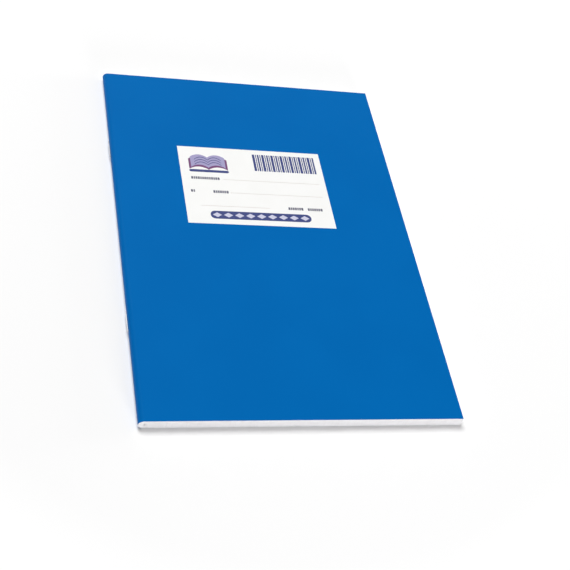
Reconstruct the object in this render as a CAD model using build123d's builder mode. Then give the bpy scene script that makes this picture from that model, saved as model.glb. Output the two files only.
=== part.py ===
from build123d import *
import os

# A stapled exercise book, closed and lying on its back cover.
# Ruled sheets are nested in each other, folded once and stapled through the fold inside a card cover.
# X runs from the spine to the fore edge, Y from the tail to the head, Z up from the table.

# Driving dimensions, in millimetres

book_width = 170.0  # spine to fore edge, closed
book_height = 250.0  # tail to head
sheet_count = 25  # folded sheets, two leaves each
paper_thickness = 0.09
paper_clearance = 0.005  # air between neighbouring sheets
card_thickness = 0.28  # cover
bend_flat = 0.4  # flat stub of each bent strip, between its half-round and the stiff leaf

wire_diameter = 0.5
wire_clearance = 0.02  # round the wire, in its holes and inside the innermost fold
wire_bend_radius = 0.3  # at the wire's centre line
staple_crown = 13.0  # between the two legs' centre lines
staple_return = 5.0  # clinched end of each leg, from the leg's centre line
staple_spacing = 125.0  # head staple to tail staple

label_width = 87.0
label_height = 60.5
label_thickness = 0.1
label_from_spine = 39.1  # spine to the label's near edge
label_from_tail = 129.9  # tail to the label's lower edge

# Places that follow from the dimensions

sheet_pitch = paper_thickness + paper_clearance
wire_hole_radius = wire_diameter / 2 + wire_clearance
fold_core_radius = wire_hole_radius  # inside of the innermost fold, which holds the clinched wire
cover_inner_radius = fold_core_radius + sheet_count * sheet_pitch
cover_outer_radius = cover_inner_radius + card_thickness

fore_x = (book_width + wire_diameter) / 2  # the staple crowns stand proud of the spine
spine_x = fore_x - book_width
fold_x = spine_x + cover_outer_radius  # every sheet folds about this line, at height fold_z
fold_z = cover_outer_radius
panel_x = fold_x + bend_flat  # leaves and cover panels are stiff from here to the fore edge
panel_width = fore_x - panel_x

crown_x = spine_x - wire_diameter / 2
staple_ys = (-staple_spacing / 2, staple_spacing / 2)
leg_ys = [y + side * staple_crown / 2 for y in staple_ys for side in (-1, 1)]

os.makedirs("parts", exist_ok=True)


def save(builder, name):
    """Label a finished piece and write it to its own file."""
    builder.part.label = name
    export_step(builder.part, f"parts/{name}.step")


def flat_panel(bottom_z, thickness):
    """A flat leaf or cover panel, from its fold to the fore edge, trimmed flush on three sides."""
    with BuildPart() as panel:
        with BuildSketch(Plane.XY.offset(bottom_z)):
            with Locations((panel_x, 0)):
                Rectangle(panel_width, book_height, align=(Align.MIN, Align.CENTER))
        extrude(amount=thickness)
    return panel


def bent_strips(inner_radii, thickness):
    """Strips bent half round about the fold line, with a hole for each staple leg."""
    with BuildPart() as strips:
        with BuildSketch(Plane.XZ):
            for inner_radius in inner_radii:
                outer_radius = inner_radius + thickness
                with BuildLine():
                    Line((panel_x, fold_z + inner_radius), (fold_x, fold_z + inner_radius))
                    CenterArc((fold_x, fold_z), inner_radius, 90, 180)
                    Line((fold_x, fold_z - inner_radius), (panel_x, fold_z - inner_radius))
                    Line((panel_x, fold_z - inner_radius), (panel_x, fold_z - outer_radius))
                    Line((panel_x, fold_z - outer_radius), (fold_x, fold_z - outer_radius))
                    CenterArc((fold_x, fold_z), outer_radius, 270, -180)
                    Line((fold_x, fold_z + outer_radius), (panel_x, fold_z + outer_radius))
                    Line((panel_x, fold_z + outer_radius), (panel_x, fold_z + inner_radius))
                make_face()
        extrude(amount=book_height / 2, both=True)
        with BuildSketch(Plane.YZ.offset(crown_x)):
            with Locations(*[(y, fold_z) for y in leg_ys]):
                Circle(wire_hole_radius)
        extrude(amount=fold_x - crown_x, mode=Mode.SUBTRACT)
    return strips


def staple(middle_y):
    """One bent wire: crown on the spine, two legs through the folds, ends clinched towards each other."""
    high_y = middle_y + staple_crown / 2
    low_y = middle_y - staple_crown / 2
    with BuildPart() as wire:
        with BuildLine() as path:
            FilletPolyline(
                (fold_x, high_y - staple_return, fold_z),
                (fold_x, high_y, fold_z),
                (crown_x, high_y, fold_z),
                (crown_x, low_y, fold_z),
                (fold_x, low_y, fold_z),
                (fold_x, low_y + staple_return, fold_z),
                radius=wire_bend_radius,
            )
        with BuildSketch(Plane(origin=path.line @ 0, z_dir=path.line % 0)):
            Circle(wire_diameter / 2)
        sweep()
    return wire


# Sheets, counted from the outside in. Each has a front leaf above the fold line and a rear leaf below it.

fold_radii = []
for number in range(1, sheet_count + 1):
    fold_radius = fold_core_radius + (sheet_count - number) * sheet_pitch
    fold_radii.append(fold_radius)
    front_leaf = flat_panel(fold_z + fold_radius, paper_thickness)
    save(front_leaf, f"sheet_{number:02d}_front_leaf")
    rear_leaf = flat_panel(fold_z - fold_radius - paper_thickness, paper_thickness)
    save(rear_leaf, f"sheet_{number:02d}_rear_leaf")

sheet_folds = bent_strips(fold_radii, paper_thickness)
save(sheet_folds, "sheet_folds")

# Cover: one card, bent round the sheets

front_cover = flat_panel(fold_z + cover_inner_radius, card_thickness)
save(front_cover, "front_cover")

cover_spine = bent_strips([cover_inner_radius], card_thickness)
save(cover_spine, "cover_spine")

back_cover = flat_panel(fold_z - cover_outer_radius, card_thickness)
save(back_cover, "back_cover")

# Label, stuck on the front cover

with BuildPart() as label:
    with BuildSketch(Plane.XY.offset(fold_z + cover_outer_radius)):
        with Locations((spine_x + label_from_spine, label_from_tail - book_height / 2)):
            Rectangle(label_width, label_height, align=(Align.MIN, Align.MIN))
    extrude(amount=label_thickness)
save(label, "label")

# Staples

tail_y, head_y = staple_ys
tail_staple = staple(tail_y)
save(tail_staple, "tail_staple")

head_staple = staple(head_y)
save(head_staple, "head_staple")
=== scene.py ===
import math
import random

import bpy
from mathutils import Matrix, Vector

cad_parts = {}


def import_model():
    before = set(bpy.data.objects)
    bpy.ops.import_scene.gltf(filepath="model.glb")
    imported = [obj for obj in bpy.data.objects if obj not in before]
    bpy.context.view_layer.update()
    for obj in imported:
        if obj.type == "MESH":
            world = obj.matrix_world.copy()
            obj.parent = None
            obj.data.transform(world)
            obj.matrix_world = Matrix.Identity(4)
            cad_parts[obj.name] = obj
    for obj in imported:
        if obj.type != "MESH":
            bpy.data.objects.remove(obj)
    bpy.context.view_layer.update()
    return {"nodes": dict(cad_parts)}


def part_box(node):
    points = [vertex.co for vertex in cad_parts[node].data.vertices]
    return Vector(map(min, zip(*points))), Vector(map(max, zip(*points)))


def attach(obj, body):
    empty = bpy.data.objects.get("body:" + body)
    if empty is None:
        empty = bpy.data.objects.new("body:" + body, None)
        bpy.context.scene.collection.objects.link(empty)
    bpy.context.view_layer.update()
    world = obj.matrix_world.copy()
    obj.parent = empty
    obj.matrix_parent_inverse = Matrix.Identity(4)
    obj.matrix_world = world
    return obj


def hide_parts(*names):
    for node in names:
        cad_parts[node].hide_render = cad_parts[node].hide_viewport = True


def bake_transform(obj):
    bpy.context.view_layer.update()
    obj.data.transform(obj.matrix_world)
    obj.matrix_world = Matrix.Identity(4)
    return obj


# A stapled exercise book: blue card cover, white label, 25 folded ruled sheets, two wire staples.
# X runs from the spine to the fore edge, Y from the tail to the head, Z up. Lengths are in metres.

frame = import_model()

MM = 0.001
chance = random.Random(17)  # seeded, so that every run gives the same book

# Sizes and places read from the frame

front_low, front_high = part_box("front_cover")
back_low, back_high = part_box("back_cover")
spine_low, spine_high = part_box("cover_spine")
label_low, label_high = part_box("label")

panel_x = front_low.x  # covers and leaves are stiff from here to the fore edge
fore_x = front_high.x
tail_y = front_low.y
head_y = front_high.y
cover_radius = (spine_high.z - spine_low.z) / 2
fold_x = spine_low.x + cover_radius  # every sheet folds about the line at fold_x and fold_z
fold_z = spine_low.z + cover_radius
card_thickness = front_high.z - front_low.z
sheet_count = sum(name.endswith("_rear_leaf") for name in frame["nodes"])

# Sizes that only the looks need: cover

card_bevel = 0.04 * MM
crease_width = 2.4 * MM  # the front cover is cut into close steps over this strip, where a cover bends when it opens
crease_steps = 10

# Sizes that only the looks need: sheets

bundle_size = 5  # sheets in each moving bundle
block_gap = 0.004 * MM  # air between the leaves of the closed block
edge_jog = 0.05 * MM  # how far a leaf's trimmed edges may stand back
settle_length = 1.5 * MM  # over this, leaves settle from their folds into an even block
settle_steps = 12
page_steps = 24  # straight runs from there to the fore edge
fold_steps = 20  # straight runs round each half-round fold
fold_middle = 0.4  # share of a fold that is its middle layer when it closes up
fold_setback = 0.02 * MM  # between the layers of a closed-up fold, at the head and the tail

line_spacing = 8 * MM
line_width = 0.28 * MM
foot_margin = 14 * MM  # tail edge to the lowest ruled line
ruled_lines = 27
gutter_margin = 11 * MM  # fold to the inner margin line
fore_margin = 18 * MM  # fore edge to the outer margin line

# Sizes that only the looks need: label

label_bevel = 0.02 * MM
label_body = 0.7  # share of the label's thickness that is paper, under the ink
ink_coats = 3  # that share the rest of it

# Sizes that only the looks need: staples

staple_return = 5 * MM  # clinched end of each staple leg
wire_bend = 0.3 * MM  # radius of the wire's corners at its centre line
wire_bend_steps = 6
wire_sides = 14
wire_pinch = 0.45  # share of the wire's height that is left where it was cut

# Shader graphs


class Tree:
    """A node tree, with short ways to add nodes and join them."""

    def __init__(self, node_tree):
        self.nodes = node_tree.nodes
        self.links = node_tree.links

    def give(self, socket, value):
        """Links a socket's value, or sets it if it is a constant."""
        if isinstance(value, bpy.types.NodeSocket):
            self.links.new(value, socket)
        else:
            socket.default_value = value

    def math(self, operation, *values):
        """One step of arithmetic."""
        node = self.nodes.new("ShaderNodeMath")
        node.operation = operation
        for socket, value in zip(node.inputs, values):
            self.give(socket, value)
        return node.outputs[0]

    def apart(self, value, other):
        """How far two values are from each other."""
        return self.math("ABSOLUTE", self.math("SUBTRACT", value, other))

    def seen(self, strength):
        """A strength for rays from the camera, a reflection or clear glass, and 0 for all others."""
        path = self.nodes.new("ShaderNodeLightPath")
        ray = path.outputs["Is Camera Ray"]
        for name in ("Is Glossy Ray", "Is Transmission Ray"):
            ray = self.math("MAXIMUM", ray, path.outputs[name])
        return self.math("MULTIPLY", ray, strength)


class Surface(Tree):
    """The node tree of a new material."""

    def __init__(self, name):
        self.material = bpy.data.materials.new(name)
        self.material.use_nodes = True
        super().__init__(self.material.node_tree)
        self.shader = self.nodes["Principled BSDF"]

    def set(self, **inputs):
        """Gives the shader's inputs, named with _ for a space."""
        for name, value in inputs.items():
            self.give(self.shader.inputs[name.replace("_", " ")], value)

    def stored(self, name, output):
        """A value that is stored with the mesh."""
        node = self.nodes.new("ShaderNodeAttribute")
        node.attribute_name = name
        return node.outputs[output]

    def split(self):
        """The rest position's X, Y and Z."""
        node = self.nodes.new("ShaderNodeSeparateXYZ")
        self.links.new(self.stored("rest_position", "Vector"), node.inputs[0])
        return node.outputs[:3]

    def ramp(self, value, low, high, to_low=0.0, to_high=1.0, kind="SMOOTHSTEP"):
        """A step from to_low to to_high as value goes from low to high."""
        node = self.nodes.new("ShaderNodeMapRange")
        node.interpolation_type = kind
        for socket, given in zip(node.inputs, (value, low, high, to_low, to_high)):
            self.give(socket, given)
        return node.outputs[0]

    def noise(self, size, detail=2.0, stretch=(1, 1, 1)):
        """Noise with patches of about that size in metres, drawn out along each axis by stretch."""
        place = self.nodes.new("ShaderNodeMapping")
        place.inputs["Scale"].default_value = [1 / (size * s) for s in stretch]
        self.links.new(self.stored("rest_position", "Vector"), place.inputs["Vector"])
        node = self.nodes.new("ShaderNodeTexNoise")
        node.inputs["Scale"].default_value = 1.0
        node.inputs["Detail"].default_value = detail
        self.links.new(place.outputs[0], node.inputs["Vector"])
        return node.outputs["Fac"]

    def mix(self, share, first, second):
        """A colour between two others, from the mix node's colour sockets."""
        node = self.nodes.new("ShaderNodeMix")
        node.data_type = "RGBA"
        self.give(node.inputs["Factor"], share)
        for socket, value in zip((node.inputs[6], node.inputs[7]), (first, second)):
            self.give(socket, value if isinstance(value, bpy.types.NodeSocket) else (*value, 1))
        return node.outputs[2]

    def bump(self, height, depth, under=None):
        """A bump of that depth in metres, on top of an earlier one if given."""
        node = self.nodes.new("ShaderNodeBump")
        node.inputs["Distance"].default_value = depth
        self.links.new(height, node.inputs["Height"])
        if under:
            self.links.new(under, node.inputs["Normal"])
        return node.outputs[0]


# Materials


def blue_card():
    """Coated side of the cover: even blue print, faintly mottled and a little rubbed along its edges."""
    deep_blue = (0.0004, 0.135, 0.448)
    clear_blue = (0.0006, 0.141, 0.462)
    fibre_blue = (0.02, 0.19, 0.55)
    rubbed_blue = (0.22, 0.4, 0.68)
    g = Surface("blue_card")
    blue = g.mix(g.ramp(g.noise(45 * MM), 0.3, 0.7), deep_blue, clear_blue)
    fibres = g.ramp(g.noise(0.5 * MM, 4, (1, 6, 1)), 0.62, 0.8, 0, 0.1)
    blue = g.mix(fibres, blue, fibre_blue)

    x, y, _ = g.split()
    from_fore = g.math("SUBTRACT", fore_x, x)
    from_spine = g.math("SUBTRACT", x, spine_low.x)
    from_end = g.math("SUBTRACT", head_y, g.math("ABSOLUTE", y))
    from_edge = g.math("MINIMUM", g.math("MINIMUM", from_fore, from_end), from_spine)
    scuffs = g.ramp(g.noise(1.2 * MM, 4, (1, 4, 1)), 0.35, 0.75, 0.3, 1)
    rub = g.math("MULTIPLY", g.ramp(from_edge, 0, 0.45 * MM, 0.14, 0), scuffs)

    grain = g.bump(g.noise(0.35 * MM, 3), 0.004 * MM)
    g.set(
        Base_Color=g.mix(rub, blue, rubbed_blue),
        Roughness=g.ramp(g.noise(6 * MM, 3), 0.2, 0.8, 0.43, 0.48),
        Normal=g.bump(g.noise(60 * MM, 1), 0.03 * MM, grain),
        Specular_IOR_Level=0.06,
        Specular_Tint=(0.03, 0.5, 1.0, 1.0),
    )
    return g.material


def white_card():
    """Uncoated side and cut edges of the cover: dull white with fine fibres."""
    dull_white = (0.845, 0.845, 0.832)
    clear_white = (0.86, 0.86, 0.846)
    fibre_grey = (0.72, 0.71, 0.69)
    g = Surface("white_card")
    tone = g.mix(g.ramp(g.noise(30 * MM), 0.3, 0.7), dull_white, clear_white)
    fibres = g.noise(0.6 * MM, 4, (1, 5, 1))
    g.set(
        Base_Color=g.mix(g.ramp(fibres, 0.55, 0.8, 0, 0.35), tone, fibre_grey),
        Roughness=0.85,
        Normal=g.bump(fibres, 0.008 * MM),
        Specular_IOR_Level=0.2,
    )
    return g.material


def paper_base(g):
    """Sets a material up as uncoated writing paper and returns its colour, a shade for each leaf."""
    dull_white = (0.885, 0.875, 0.9)
    clear_white = (0.94, 0.93, 0.95)
    cloud_grey = (0.84, 0.83, 0.85)
    sheet = g.mix(g.stored("leaf_shade", "Fac"), dull_white, clear_white)
    clouds = g.ramp(g.noise(9 * MM, 3), 0.3, 0.75, 0, 0.2)
    fibres = g.noise(0.45 * MM, 4)
    g.set(Roughness=0.9, Specular_IOR_Level=0.15, Normal=g.bump(fibres, 0.006 * MM))
    return g.mix(clouds, sheet, cloud_grey)


def ruled_paper():
    """Page faces: pale grey-blue lines across and two violet-grey margin lines along."""
    line_blue = (0.5, 0.53, 0.68)
    margin_violet = (0.42, 0.38, 0.55)
    g = Surface("ruled_paper")
    sheet = paper_base(g)
    x, y, _ = g.split()
    half = line_width / 2
    soft = 0.3 * half
    uneven = g.ramp(g.noise(2.5 * MM, 3), 0.2, 0.7, 0.6, 0.95)

    above = g.math("SUBTRACT", y, tail_y + foot_margin)
    spacings = g.math("DIVIDE", above, line_spacing)
    past_middle = g.math("FRACT", g.math("ADD", spacings, 0.5))
    off_line = g.math("MULTIPLY", g.apart(past_middle, 0.5), line_spacing)
    across = g.ramp(off_line, half - soft, half + soft, 1, 0)
    half_ruled = (ruled_lines - 1) * line_spacing / 2
    within = g.math("LESS_THAN", g.apart(above, half_ruled), half_ruled + line_width)
    across = g.math("MULTIPLY", g.math("MULTIPLY", across, within), uneven)
    sheet = g.mix(across, sheet, line_blue)

    for margin_x in (fold_x + gutter_margin, fore_x - fore_margin):
        along = g.ramp(g.apart(x, margin_x), half - soft, half + soft, 1, 0)
        sheet = g.mix(g.math("MULTIPLY", along, uneven), sheet, margin_violet)
    g.set(Base_Color=sheet)
    return g.material


def trimmed_paper():
    """Cut edges of the leaves, with the fine strokes that the trimming knife leaves."""
    stroke_grey = (0.8, 0.79, 0.8)
    g = Surface("trimmed_paper")
    sheet = paper_base(g)
    strokes = g.ramp(g.noise(0.7 * MM, 3, (1, 1, 12)), 0.45, 0.75, 0, 0.3)
    g.set(Base_Color=g.mix(strokes, sheet, stroke_grey))
    return g.material


def label_paper():
    """Smooth white label paper, very slightly warm."""
    dull_white = (0.95, 0.95, 0.933)
    clear_white = (0.97, 0.97, 0.957)
    g = Surface("label_paper")
    g.set(
        Base_Color=g.mix(g.ramp(g.noise(12 * MM, 3), 0.3, 0.7), dull_white, clear_white),
        Roughness=g.ramp(g.noise(3 * MM, 3), 0.2, 0.8, 0.5, 0.62),
        Normal=g.bump(g.noise(0.5 * MM, 3), 0.003 * MM),
        Specular_IOR_Level=0.3,
    )
    return g.material


def ink(name, colour):
    """Printing ink that lies a little unevenly, with some of the paper's white where it is thin."""
    paper_white = 0.9
    white_share = 0.15
    thin = [(1 - white_share) * c + white_share * paper_white for c in colour]
    g = Surface(name)
    patches = g.ramp(g.noise(0.5 * MM, 4), 0.5, 0.8, 0, 0.45)
    g.set(Base_Color=g.mix(patches, colour, thin), Roughness=0.55, Specular_IOR_Level=0.3)
    return g.material


def galvanised_wire():
    """Zinc-coated steel wire with draw marks along it."""
    dull_zinc = (0.36, 0.37, 0.385)
    clear_zinc = (0.5, 0.51, 0.525)
    g = Surface("galvanised_wire")
    spangle = g.ramp(g.noise(0.8 * MM, 3), 0.3, 0.7)
    marks = g.noise(0.12 * MM, 3, (1, 25, 1))
    g.set(
        Base_Color=g.mix(spangle, dull_zinc, clear_zinc),
        Metallic=1.0,
        Roughness=g.ramp(marks, 0.3, 0.7, 0.28, 0.46),
        Normal=g.bump(marks, 0.006 * MM),
    )
    return g.material


# Meshes


def piece(name, points, faces, materials, kinds=None):
    """A new object with its rest position stored, so that its finish stays in place when it bends.

    Kinds give each face's place in the list of materials.
    """
    sharp_angle = math.radians(30)
    mesh = bpy.data.meshes.new(name)
    mesh.from_pydata(points, [], faces)
    mesh.polygons.foreach_set("use_smooth", [True] * len(mesh.polygons))
    for material in materials:
        mesh.materials.append(material)
    if kinds:
        mesh.polygons.foreach_set("material_index", kinds)
    mesh.set_sharp_from_angle(angle=sharp_angle)
    stored = mesh.attributes.new("rest_position", "FLOAT_VECTOR", "POINT")
    stored.data.foreach_set("vector", [c for p in points for c in p])
    mesh.update()
    made = bpy.data.objects.new(name, mesh)
    bpy.context.scene.collection.objects.link(made)
    return made


def thin_solid(stations, rows, bevel=0.0, bevelled_ends=(False, False)):
    """Points, faces and face kinds of a thin closed sheet.

    Each station is a pair of (x, z) points, under and upper, in order along the sheet. Its row holds the
    places across the sheet there, along Y. The long edges are bevelled, and the ends where asked. Kinds
    are 0 upper, 1 under and 2 edge.
    """
    points = []
    wide = len(rows[0])
    last = len(stations) - 1
    for k, (under, upper) in enumerate(stations):
        end = (k == 0 and bevelled_ends[0]) or (k == last and bevelled_ends[1])
        middle = (Vector(under) + Vector(upper)) / 2
        half = (Vector(upper) - Vector(under)) / 2
        for m, y in enumerate(rows[k]):
            edge = bevel > 0 and (end or m in (0, wide - 1))
            reach = half * (1 - bevel / half.length) if edge else half
            for corner in (middle - reach, middle + reach):
                points.append((corner.x, y, corner.y))

    def at(k, m, upper):
        """Number of a point."""
        return 2 * (k * wide + m) + upper

    faces = []
    kinds = []
    for k in range(last):
        for m in range(wide - 1):
            faces.append((at(k, m, 1), at(k + 1, m, 1), at(k + 1, m + 1, 1), at(k, m + 1, 1)))
            kinds.append(0)
            faces.append((at(k, m, 0), at(k, m + 1, 0), at(k + 1, m + 1, 0), at(k + 1, m, 0)))
            kinds.append(1)
        for m, flip in ((0, False), (wide - 1, True)):
            ring = (at(k, m, 0), at(k + 1, m, 0), at(k + 1, m, 1), at(k, m, 1))
            faces.append(ring[::-1] if flip else ring)
            kinds.append(2)
    for m in range(wide - 1):
        faces.append((at(0, m, 0), at(0, m, 1), at(0, m + 1, 1), at(0, m + 1, 0)))
        faces.append((at(last, m, 0), at(last, m + 1, 0), at(last, m + 1, 1), at(last, m, 1)))
        kinds += [2, 2]
    return points, faces, kinds


def edge_places(low, high, inset):
    """Places across a sheet, with a narrow band along each edge."""
    return (low, low + inset, high - inset, high)


def fold_stations(inner, outer):
    """Stations of a strip bent half round about the fold, from its rear end to its front end."""
    stations = [((panel_x, fold_z - outer), (panel_x, fold_z - inner))]
    for step in range(fold_steps + 1):
        angle = math.pi * step / fold_steps
        out = Vector((-math.sin(angle), -math.cos(angle)))
        stations.append(tuple((fold_x + r * out.x, fold_z + r * out.y) for r in (outer, inner)))
    stations.append(((panel_x, fold_z + outer), (panel_x, fold_z + inner)))
    return stations


def fold_rows(inset):
    """Places across a fold at each of its stations.

    When the book opens, a fold closes up in layers. So that their trimmed ends don't lie in one plane, the
    flat ends of the fold stand back a little behind its round part, and the middle of the round part
    further still.
    """
    rows = []
    last = fold_steps + 2
    for station in range(last + 1):
        flat = station < 2 or station > last - 2
        middle = abs(station / last - 0.5) < fold_middle / 2
        back = fold_setback * (flat + 2 * middle)
        rows.append(edge_places(tail_y + back, head_y - back, inset))
    return rows


def bend_with_book(strip):
    """Leaves a strip where it was built, with its placement moved into its mesh."""
    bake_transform(strip)


# Cover


def card_panel(name, low_z, high_z, xs, upper, under, edge):
    """A flat cover panel, bevelled all round apart from where it runs on into the spine."""
    stations = [((x, low_z), (x, high_z)) for x in xs]
    rows = [edge_places(tail_y, head_y, card_bevel)] * len(stations)
    points, faces, kinds = thin_solid(stations, rows, card_bevel, (False, True))
    return piece(name, points, faces, (upper, under, edge), kinds)


def back_cover(blue, white):
    """The panel that the book lies on."""
    xs = (panel_x, fore_x - card_bevel, fore_x)
    made = card_panel("back_cover_card", back_low.z, back_high.z, xs, white, blue, white)
    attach(made, "base")
    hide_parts("back_cover")


def cover_spine(blue, white):
    """The card's bend round the folds."""
    strip = fold_stations(cover_radius - card_thickness, cover_radius)
    points, faces, kinds = thin_solid(strip, fold_rows(card_bevel), card_bevel)
    made = piece("cover_spine_card", points, faces, (white, blue, white), kinds)
    bend_with_book(made)
    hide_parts("cover_spine")


def front_cover(blue, white):
    """The panel with the label, cut into close steps along its crease by the spine."""
    crease = [panel_x + crease_width * k / crease_steps for k in range(crease_steps + 1)]
    xs = (*crease, fore_x - card_bevel, fore_x)
    made = card_panel("front_cover_card", front_low.z, front_high.z, xs, blue, white, white)
    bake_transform(made)
    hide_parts("front_cover")


# Sheets


def shade_leaf(made):
    """Stores one shade for a whole leaf or fold."""
    stored = made.data.attributes.new("leaf_shade", "FLOAT", "POINT")
    stored.data.foreach_set("value", [chance.random()] * len(made.data.vertices))


def bundle_body(side, bundle):
    """The body of a bundle of leaves, counted from the outside in."""
    if (side, bundle) == ("rear", 0):
        return "base"
    first = bundle * bundle_size + 1
    return f"{side}_leaves_{first:02d}_{first + bundle_size - 1:02d}"


def smooth(share):
    """A soft start and end for a share between 0 and 1."""
    share = min(max(share, 0), 1)
    return share * share * (3 - 2 * share)


def spring_up(page, side, number):
    """A page of an outer bundle rides with that bundle's body; any other page keeps its place as built.
    """
    bundle, place = divmod(number - 1, bundle_size)
    body = bundle_body(side, bundle)
    if bundle == 0:
        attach(page, body)
        return
    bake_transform(page)


def block_place(side, number):
    """Lower and upper face of a leaf in the even block between the covers."""
    pitch = (front_low.z - back_high.z) / (2 * sheet_count)
    place = number - 1 if side == "rear" else 2 * sheet_count - number
    low_z = back_high.z + place * pitch + block_gap / 2
    return low_z, low_z + pitch - block_gap


def leaf_xs(fore):
    """Places along a leaf, close together where it settles and then evenly on to its fore edge."""
    settled_x = panel_x + settle_length
    page = fore - panel_x - settle_length
    settling = [panel_x + settle_length * k / settle_steps for k in range(settle_steps + 1)]
    return settling + [settled_x + page * k / page_steps for k in range(1, page_steps + 1)]


def leaf(side, number, ruled, trimmed):
    """One leaf, from its fold to the fore edge, settled into the even block."""
    node = f"sheet_{number:02d}_{side}_leaf"
    low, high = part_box(node)
    block_low, block_high = block_place(side, number)
    fore = fore_x - chance.uniform(0, edge_jog)
    ys = (tail_y + chance.uniform(0, edge_jog), head_y - chance.uniform(0, edge_jog))
    stations = []
    for x in leaf_xs(fore):
        settled = smooth((x - panel_x) / settle_length)
        under = low.z + (block_low - low.z) * settled
        upper = high.z + (block_high - high.z) * settled
        stations.append(((x, under), (x, upper)))
    points, faces, kinds = thin_solid(stations, [ys] * len(stations))
    made = piece(f"sheet_{number:02d}_{side}_page", points, faces, (ruled, ruled, trimmed), kinds)
    shade_leaf(made)
    spring_up(made, side, number)
    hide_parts(node)


def fold(number, ruled, trimmed):
    """The bent middle of one sheet, half round about the fold."""
    low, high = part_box(f"sheet_{number:02d}_front_leaf")
    inner = low.z - fold_z
    outer = high.z - fold_z
    points, faces, kinds = thin_solid(fold_stations(inner, outer), fold_rows(card_bevel))
    made = piece(f"sheet_{number:02d}_fold", points, faces, (ruled, ruled, trimmed), kinds)
    shade_leaf(made)
    bend_with_book(made)
    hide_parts("sheet_folds")


# Label, whose print is laid out in shares of its width from the left and of its height from the top


def label_top(coats):
    """Height of the label's paper, or of a coat of ink on it."""
    share = label_body + (1 - label_body) * coats / ink_coats
    return label_low.z + share * (label_high.z - label_low.z)


def label_place(right, down):
    """A point on the label, from shares of its width and height."""
    x = label_low.x + right * (label_high.x - label_low.x)
    y = label_high.y - down * (label_high.y - label_low.y)
    return Vector((x, y))


def label_sheet(paper):
    """The label's paper, with bevelled edges."""
    low = label_low
    high = Vector((label_high.x, label_high.y, label_top(0)))
    xs = edge_places(low.x, high.x, label_bevel)
    stations = [((x, low.z), (x, high.z)) for x in xs]
    rows = [edge_places(low.y, high.y, label_bevel)] * len(stations)
    points, faces, _ = thin_solid(stations, rows, label_bevel, (True, True))
    made = piece("label_paper_sheet", points, faces, (paper,))
    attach(made, "front_flap")
    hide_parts("label")


def printed(name, outlines, coat, material):
    """Flat shapes in one coat of ink, a hundredth of a millimetre thick."""
    low_z = label_top(coat - 1)
    high_z = label_top(coat)
    points = []
    faces = []
    for outline in outlines:
        base = len(points)
        count = len(outline)
        points += [(x, y, low_z) for x, y in outline]
        points += [(x, y, high_z) for x, y in outline]
        faces.append(tuple(base + count + k for k in range(count)))
        faces.append(tuple(base + k for k in reversed(range(count))))
        for k in range(count):
            after = (k + 1) % count
            faces.append((base + k, base + after, base + count + after, base + count + k))
    made = piece(name, points, faces, (material,))
    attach(made, "front_flap")


def box_outline(low, high):
    """A box between two opposite corners."""
    return [(low.x, low.y), (high.x, low.y), (high.x, high.y), (low.x, high.y)]


def round_outline(low, high, radius):
    """A box with round corners."""
    corner_steps = 6
    outline = []
    left, right = low.x + radius, high.x - radius
    bottom, top = low.y + radius, high.y - radius
    for quarter, (x, y) in enumerate(((right, top), (left, top), (left, bottom), (right, bottom))):
        for step in range(corner_steps + 1):
            angle = math.pi / 2 * (quarter + step / corner_steps)
            outline.append((x + radius * math.cos(angle), y + radius * math.sin(angle)))
    return outline


def bar(right_from, right_to, down, height):
    """A long bar with round ends."""
    nearly_half = 0.49  # so that the corners of each end stay apart
    low = label_place(right_from, down) - Vector((0, height / 2))
    high = label_place(right_to, down) + Vector((0, height / 2))
    return round_outline(low, high, height * nearly_half)


def block_row(low, high, widths, gap):
    """Plain boxes side by side from low to high, of the given widths in turn."""
    blocks = []
    x = low.x
    while x + min(widths) < high.x:
        width = widths[len(blocks) % len(widths)]
        blocks.append(box_outline(Vector((x, low.y)), Vector((x + width, high.y))))
        x += width + gap
    return blocks


def upright_bars():
    """Upright bars of three widths in a plain repeating order."""
    low = label_place(0.515, 0.285)
    high = label_place(0.962, 0.06)
    return block_row(low, high, widths=(1.5 * MM, 0.6 * MM, 1.0 * MM, 0.6 * MM), gap=0.5 * MM)


def field_name(right_from, right_to, down):
    """A row of small blocks where a form has the name of a field."""
    half_height = Vector((0, 1.0 * MM))
    low = label_place(right_from, down) - half_height
    high = label_place(right_to, down) + half_height
    return block_row(low, high, widths=(1.1 * MM, 0.8 * MM, 0.95 * MM), gap=0.35 * MM)


def dotted_line(right_from, right_to, down):
    """Round dots in a row, as a line to write on."""
    radius = 0.28 * MM
    spacing = 1.3 * MM
    corners = 8
    turns = [2 * math.pi * c / corners for c in range(corners)]
    start = label_place(right_from, down)
    length = label_place(right_to, down).x - start.x
    dots = []
    for k in range(int(length / spacing)):
        middle_x = start.x + k * spacing
        dots.append([(middle_x + radius * math.cos(a), start.y + radius * math.sin(a)) for a in turns])
    return dots


def lozenge(right, down):
    """A square stood on its corner and drawn out sideways."""
    half_width = 2.7 * MM
    half_height = 1.8 * MM
    middle = label_place(right, down)
    tips = ((half_width, 0), (0, half_height), (-half_width, 0), (0, -half_height))
    return [(middle.x + x, middle.y + y) for x, y in tips]


def book_side(side, width, low, high):
    """One side of a plain open book: a band whose edges curve up and back down away from the fold."""
    middle = label_place(0.195, 0.205)
    rise = 2.2 * MM
    fullness = 0.8  # below 1, the curve is fuller than a plain wave
    steps = 12
    curve = []
    for k in range(steps + 1):
        out = k / steps
        x = middle.x + side * width * out
        curve.append((x, middle.y + rise * math.sin(math.pi * out) ** fullness))
    ring = [(x, y + low) for x, y in curve] + [(x, y + high) for x, y in reversed(curve)]
    return ring if side > 0 else ring[::-1]


def open_book(width, low, high):
    """Both sides of a plain open book."""
    return [book_side(side, width, low, high) for side in (-1, 1)]


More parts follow.
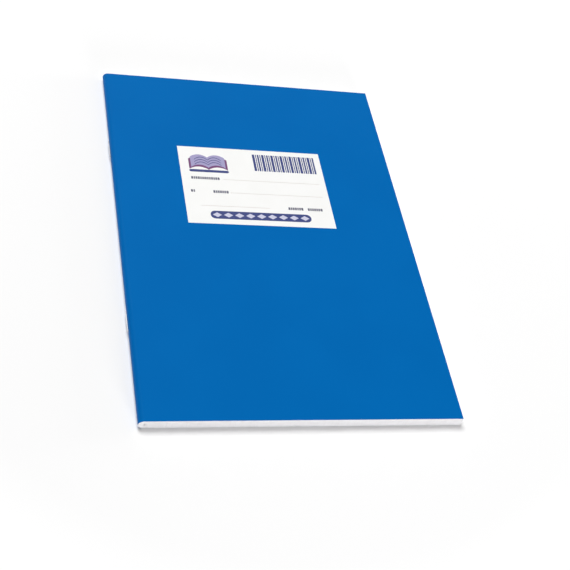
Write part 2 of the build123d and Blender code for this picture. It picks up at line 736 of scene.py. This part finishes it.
def print_book(cover_ink, page_ink, line_ink):
    """An open book: its cover, the pages on it and the lines on them."""
    book_cover = open_book(width=11.5 * MM, low=-6 * MM, high=2.4 * MM)
    printed("label_print_book_cover", book_cover, 1, cover_ink)
    pages = open_book(width=10.3 * MM, low=-4.4 * MM, high=4 * MM)
    printed("label_print_book_pages", pages, 2, page_ink)
    thickness = 0.5 * MM
    lines = []
    for low in (-2.4 * MM, -0.4 * MM, 1.6 * MM):
        lines += open_book(width=8 * MM, low=low, high=low + thickness)
    printed("label_print_book_lines", lines, 3, line_ink)


def print_form(line_ink, name_ink):
    """Three rows of a form, each with a line to write on and the places of its fields' names."""
    rows = (
        {"down": 0.425, "line": (0.29, 0.965), "names": [(0.065, 0.255)]},
        {"down": 0.597, "line": (0.32, 0.965), "names": [(0.05, 0.08), (0.2, 0.3)]},
        {"down": 0.775, "line": (0.11, 0.58), "names": [(0.695, 0.805), (0.83, 0.945)]},
    )
    name_rise = 0.007  # of the names above their line
    lines = []
    names = []
    for row in rows:
        lines += dotted_line(*row["line"], row["down"])
        for place in row["names"]:
            names += field_name(*place, row["down"] - name_rise)
    printed("label_print_writing_lines", lines, 1, line_ink)
    printed("label_print_fields", names, 1, name_ink)


def print_bands(band_ink, lozenge_ink):
    """A shelf under the book, and a band of lozenges along the foot of the label."""
    shelf = bar(0.06, 0.33, 0.322, 2 * MM)
    band_down = 0.887
    band = bar(0.155, 0.84, band_down, 6 * MM)
    printed("label_print_bands", [shelf, band], 1, band_ink)
    spaces = 8
    first = 0.2
    run = 0.595  # from the first lozenge to the last
    lozenges = [lozenge(first + run * k / spaces, band_down) for k in range(spaces + 1)]
    printed("label_print_lozenges", lozenges, 2, lozenge_ink)


def label_print():
    """Generic print: an open book on a shelf, a block of bars, a form and a band of lozenges."""
    navy = ink("navy_ink", (0.02, 0.035, 0.17))
    purple = ink("purple_ink", (0.15, 0.04, 0.15))
    lilac = ink("lilac_ink", (0.36, 0.33, 0.55))
    pale = ink("pale_ink", (0.62, 0.62, 0.78))
    grey = ink("grey_ink", (0.07, 0.07, 0.12))
    tan = ink("tan_ink", (0.46, 0.36, 0.32))
    print_book(purple, lilac, navy)
    printed("label_print_bars", upright_bars(), 1, navy)
    print_form(tan, grey)
    print_bands(navy, pale)


# Staples


def wire_path(low, high, radius):
    """Centre line of a staple in its box: clinched end, leg, crown, leg and clinched end."""
    leg_low, leg_high = low.y + radius, high.y - radius
    crown_x, clinch_x = low.x + radius, high.x - radius
    corners = [(clinch_x, leg_high), (crown_x, leg_high), (crown_x, leg_low), (clinch_x, leg_low)]
    ends = [(clinch_x, leg_high - staple_return), (clinch_x, leg_low + staple_return)]
    route = [Vector(p) for p in (ends[0], *corners, ends[1])]
    path = [route[0]]
    for before, corner, after in zip(route, route[1:], route[2:]):
        to_before = (before - corner).normalized()
        to_after = (after - corner).normalized()
        middle = corner + (to_before + to_after) * wire_bend
        for step in range(wire_bend_steps + 1):
            angle = math.pi / 2 * step / wire_bend_steps
            path.append(middle - (to_after * math.cos(angle) + to_before * math.sin(angle)) * wire_bend)
    path.append(route[-1])
    return path


def staple(node, wire):
    """A round wire swept along its path, with both ends pinched where the wire was cut."""
    low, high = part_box(node)
    radius = (high.z - low.z) / 2
    path = wire_path(low, high, radius)
    last = len(path) - 1
    points = []
    for k, middle in enumerate(path):
        along = (path[min(k + 1, last)] - path[max(k - 1, 0)]).normalized()
        across = Vector((along.y, -along.x))
        height = radius * (wire_pinch if k in (0, last) else 1)
        for side in range(wire_sides):
            angle = 2 * math.pi * side / wire_sides
            out = middle + across * radius * math.cos(angle)
            points.append((out.x, out.y, fold_z + height * math.sin(angle)))
    faces = []
    for k in range(last):
        ring = k * wire_sides
        after_ring = ring + wire_sides
        for side in range(wire_sides):
            after = (side + 1) % wire_sides
            faces.append((ring + side, after_ring + side, after_ring + after, ring + after))
    faces.append(tuple(range(wire_sides)))
    faces.append(tuple(reversed(range(len(points) - wire_sides, len(points)))))
    made = piece(f"{node}_wire", points, faces, (wire,))
    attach(made, "spine")
    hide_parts(node)


# Studio


def floor_white():
    """White that keeps the shadows near the book and is seen as plain white further away."""
    shadows_within = 0.2  # metres from the middle of the book
    plain_beyond = 1.0
    near_glow = 0.07
    far_glow = 1.0
    g = Surface("floor_white")
    place = g.nodes.new("ShaderNodeNewGeometry")
    away = g.nodes.new("ShaderNodeVectorMath")
    away.operation = "LENGTH"
    g.links.new(place.outputs["Position"], away.inputs[0])
    glow = g.ramp(away.outputs["Value"], shadows_within, plain_beyond, near_glow, far_glow, "LINEAR")
    g.set(
        Base_Color=(0.95, 0.95, 0.95, 1),
        Roughness=1.0,
        Specular_IOR_Level=0.0,
        Emission_Color=(1, 1, 1, 1),
        Emission_Strength=g.seen(glow),
    )
    return g.material


def floor():
    """A wide square floor, a hair below the book."""
    half = 3.0
    z = -0.02 * MM
    mesh = bpy.data.meshes.new("floor")
    corners = [(-half, -half, z), (half, -half, z), (half, half, z), (-half, half, z)]
    mesh.from_pydata(corners, [], [(0, 1, 2, 3)])
    mesh.materials.append(floor_white())
    made = bpy.data.objects.new("floor", mesh)
    bpy.context.scene.collection.objects.link(made)


def world(ambient):
    """Even soft light from all round, and white where it is seen."""
    made = bpy.data.worlds.new("studio")
    bpy.context.scene.world = made
    made.use_nodes = True
    tree = Tree(made.node_tree)
    background = tree.nodes["Background"]
    tree.give(background.inputs["Color"], (1, 1, 1, 1))
    tree.give(background.inputs["Strength"], tree.math("ADD", tree.seen(1 - ambient), ambient))


def lamp(name, place, size, power, mirrored):
    """A round soft lamp aimed at the book, which shows in glossy surfaces only if it is mirrored."""
    data = bpy.data.lights.new(name, "AREA")
    data.shape = "DISK"
    data.size = size
    data.energy = power
    made = bpy.data.objects.new(name, data)
    made.location = place
    to_book = -Vector(place)
    made.rotation_euler = to_book.to_track_quat("-Z", "Y").to_euler()
    made.visible_glossy = mirrored
    bpy.context.scene.collection.objects.link(made)


def camera():
    """The photograph's view, fitted to the edges of the cover and of the label in it."""
    azimuth = math.radians(-25.333)
    elevation = math.radians(47.654)
    roll = math.radians(20.795)
    distance = 633.67 * MM
    aim = Vector((2.99, -38.16, 5.85)) * MM
    outward = math.cos(elevation)
    back = Vector((math.sin(azimuth) * outward, -math.cos(azimuth) * outward, math.sin(elevation)))
    level = Vector((0, 0, 1)).cross(back).normalized()
    right = Matrix.Rotation(roll, 3, back) @ level
    up = back.cross(right)
    data = bpy.data.cameras.new("camera")
    data.lens = 73.515
    data.sensor_width = 36.0
    made = bpy.data.objects.new("camera", data)
    turn = Matrix((right, up, back)).transposed().to_4x4()
    made.matrix_world = Matrix.Translation(aim + back * distance) @ turn
    bpy.context.scene.collection.objects.link(made)
    bpy.context.scene.camera = made


# The book, from the cover to the staples

blue = blue_card()
white = white_card()
back_cover(blue, white)
cover_spine(blue, white)
front_cover(blue, white)

ruled = ruled_paper()
trimmed = trimmed_paper()
for number in range(1, sheet_count + 1):
    leaf("rear", number, ruled, trimmed)
    fold(number, ruled, trimmed)
    leaf("front", number, ruled, trimmed)

label_sheet(label_paper())
label_print()

wire = galvanised_wire()
for node in ("head_staple", "tail_staple"):
    staple(node, wire)

# The studio round it

floor()
world(ambient=0.07)
lamp("key_behind", place=(-0.7, 1.95, 3.8), size=3.0, power=192, mirrored=True)
lamp("low_front", place=(0.2, -1.1, 0.14), size=0.26, power=5.8, mirrored=False)
lamp("low_right", place=(1.1, 0.1, 0.14), size=0.26, power=3.0, mirrored=False)
camera()
bpy.context.scene.view_settings.view_transform = "Standard"
